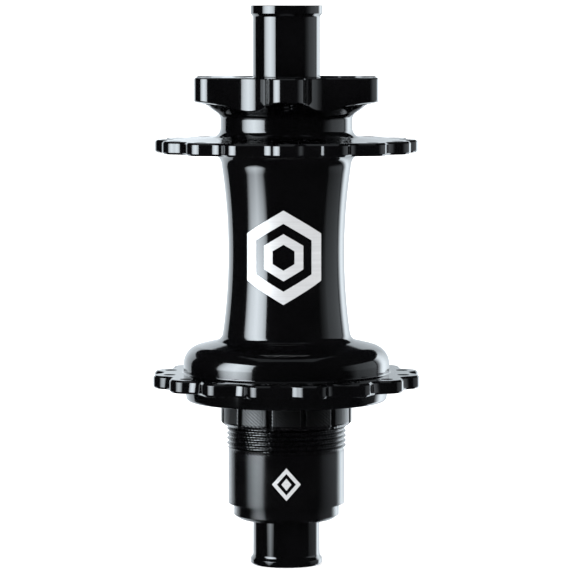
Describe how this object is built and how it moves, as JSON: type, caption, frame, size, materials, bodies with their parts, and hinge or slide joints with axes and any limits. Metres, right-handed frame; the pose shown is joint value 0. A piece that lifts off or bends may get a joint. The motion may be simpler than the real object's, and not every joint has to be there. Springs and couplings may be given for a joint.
{
  "type": "bicycle rear hub",
  "caption": "Rear hub with a six-bolt disc mount, two spoke flanges, a waisted shell, pull-off end caps and a ratcheting freehub for a threaded one-piece cassette.",
  "frame": {"origin": "centre of the drive-side end face, on the axle", "axes": "+Z along the axle from the freehub to the disc side, -Y the front seen in the picture"},
  "size_m": [0.0708, 0.0708, 0.148],
  "materials": {
    "shell_anodised": "turned, polished and black anodised, glossy",
    "cap_anodised": "turned and black anodised, glossy",
    "freehub_anodised": "turned and black anodised, satin",
    "axle_aluminium": "turned, bare",
    "bearing_steel": "ground",
    "tool_steel": "machined and hardened",
    "spring_steel": "blued strip",
    "seal_rubber": "moulded, matt"
  },
  "bodies": {
    "axle": {"axle": "axle_aluminium", "o_ring_drive": "seal_rubber", "o_ring_brake": "seal_rubber", "spacer_tube": "axle_aluminium", "spacer_ring": "axle_aluminium", "inner_race_freehub_end": "bearing_steel", "inner_race_freehub_inner": "bearing_steel", "inner_race_drive": "bearing_steel", "inner_race_brake": "bearing_steel"},
    "drive_cap": {"end_cap_drive": "cap_anodised"},
    "brake_cap": {"end_cap_brake": "cap_anodised"},
    "shell": {"hub_shell": "shell_anodised", "drive_ring": "tool_steel", "outer_race_drive": "bearing_steel", "shield_lower_drive": "seal_rubber", "shield_upper_drive": "seal_rubber", "outer_race_brake": "bearing_steel", "shield_lower_brake": "seal_rubber", "shield_upper_brake": "seal_rubber"},
    "freehub": {"freehub_body": "freehub_anodised", "lip_seal": "seal_rubber", "snap_ring": "spring_steel", "outer_race_freehub_end": "bearing_steel", "shield_lower_freehub_end": "seal_rubber", "shield_upper_freehub_end": "seal_rubber", "outer_race_freehub_inner": "bearing_steel", "shield_lower_freehub_inner": "seal_rubber", "shield_upper_freehub_inner": "seal_rubber", "pawl_spring_1": "spring_steel", "pawl_spring_2": "spring_steel", "pawl_spring_3": "spring_steel", "pawl_spring_4": "spring_steel", "pawl_spring_5": "spring_steel", "pawl_spring_6": "spring_steel"},
    "cage_freehub_end": {"ball_cage_freehub_end": "bearing_steel"},
    "cage_freehub_inner": {"ball_cage_freehub_inner": "bearing_steel"},
    "cage_drive": {"ball_cage_drive": "bearing_steel"},
    "cage_brake": {"ball_cage_brake": "bearing_steel"},
    "pawl_1": {"pawl_1": "tool_steel"},
    "pawl_2": {"pawl_2": "tool_steel"},
    "pawl_3": {"pawl_3": "tool_steel"},
    "pawl_4": {"pawl_4": "tool_steel"},
    "pawl_5": {"pawl_5": "tool_steel"},
    "pawl_6": {"pawl_6": "tool_steel"}
  },
  "joints": [
    {"name": "shell_spin", "type": "hinge", "parent": "axle", "child": "shell", "pos_m": [0, 0, 0], "axis": [0, 0, 1], "continuous": true},
    {"name": "freehub_spin", "type": "hinge", "parent": "axle", "child": "freehub", "pos_m": [0, 0, 0], "axis": [0, 0, 1], "continuous": true},
    {"name": "brake_cap_pull", "type": "slide", "parent": "axle", "child": "brake_cap", "axis": [0, 0, 1], "range_m": [0, 0.012]},
    {"name": "drive_cap_pull", "type": "slide", "parent": "axle", "child": "drive_cap", "axis": [0, 0, -1], "range_m": [0, 0.012]},
    {"name": "cage_spin_freehub_end", "type": "hinge", "parent": "axle", "child": "cage_freehub_end", "pos_m": [0, 0, 0], "axis": [0, 0, 1], "continuous": true},
    {"name": "cage_spin_freehub_inner", "type": "hinge", "parent": "axle", "child": "cage_freehub_inner", "pos_m": [0, 0, 0], "axis": [0, 0, 1], "continuous": true},
    {"name": "cage_spin_drive", "type": "hinge", "parent": "axle", "child": "cage_drive", "pos_m": [0, 0, 0], "axis": [0, 0, 1], "continuous": true},
    {"name": "cage_spin_brake", "type": "hinge", "parent": "axle", "child": "cage_brake", "pos_m": [0, 0, 0], "axis": [0, 0, 1], "continuous": true},
    {"name": "pawl_lift_1", "type": "hinge", "parent": "freehub", "child": "pawl_1", "pos_m": [0, -0.01655, 0.05035], "axis": [0, 0, -1], "range_deg": [0, 6.8], "stiffness_Nm_per_rad": 0.0005},
    {"name": "pawl_lift_2", "type": "hinge", "parent": "freehub", "child": "pawl_2", "pos_m": [0.01433, -0.00827, 0.05035], "axis": [0, 0, -1], "range_deg": [0, 6.4], "stiffness_Nm_per_rad": 0.0005},
    {"name": "pawl_lift_3", "type": "hinge", "parent": "freehub", "child": "pawl_3", "pos_m": [0.01433, 0.00827, 0.05035], "axis": [0, 0, -1], "range_deg": [0, 3.4], "stiffness_Nm_per_rad": 0.0005},
    {"name": "pawl_lift_4", "type": "hinge", "parent": "freehub", "child": "pawl_4", "pos_m": [0, 0.01655, 0.05035], "axis": [0, 0, -1], "range_deg": [0, 3.8], "stiffness_Nm_per_rad": 0.0005},
    {"name": "pawl_lift_5", "type": "hinge", "parent": "freehub", "child": "pawl_5", "pos_m": [-0.01433, 0.00827, 0.05035], "axis": [0, 0, -1], "range_deg": [0, 4.7], "stiffness_Nm_per_rad": 0.0005},
    {"name": "pawl_lift_6", "type": "hinge", "parent": "freehub", "child": "pawl_6", "pos_m": [-0.01433, -0.00827, 0.05035], "axis": [0, 0, -1], "range_deg": [0, 5.7], "stiffness_Nm_per_rad": 0.0005}
  ],
  "couplings": [
    {"joint": "cage_spin_freehub_end", "follows": "freehub_spin", "ratio": 0.5538},
    {"joint": "cage_spin_freehub_inner", "follows": "freehub_spin", "ratio": 0.5674},
    {"joint": "cage_spin_drive", "follows": "shell_spin", "ratio": 0.5674},
    {"joint": "cage_spin_brake", "follows": "shell_spin", "ratio": 0.5674}
  ]
}
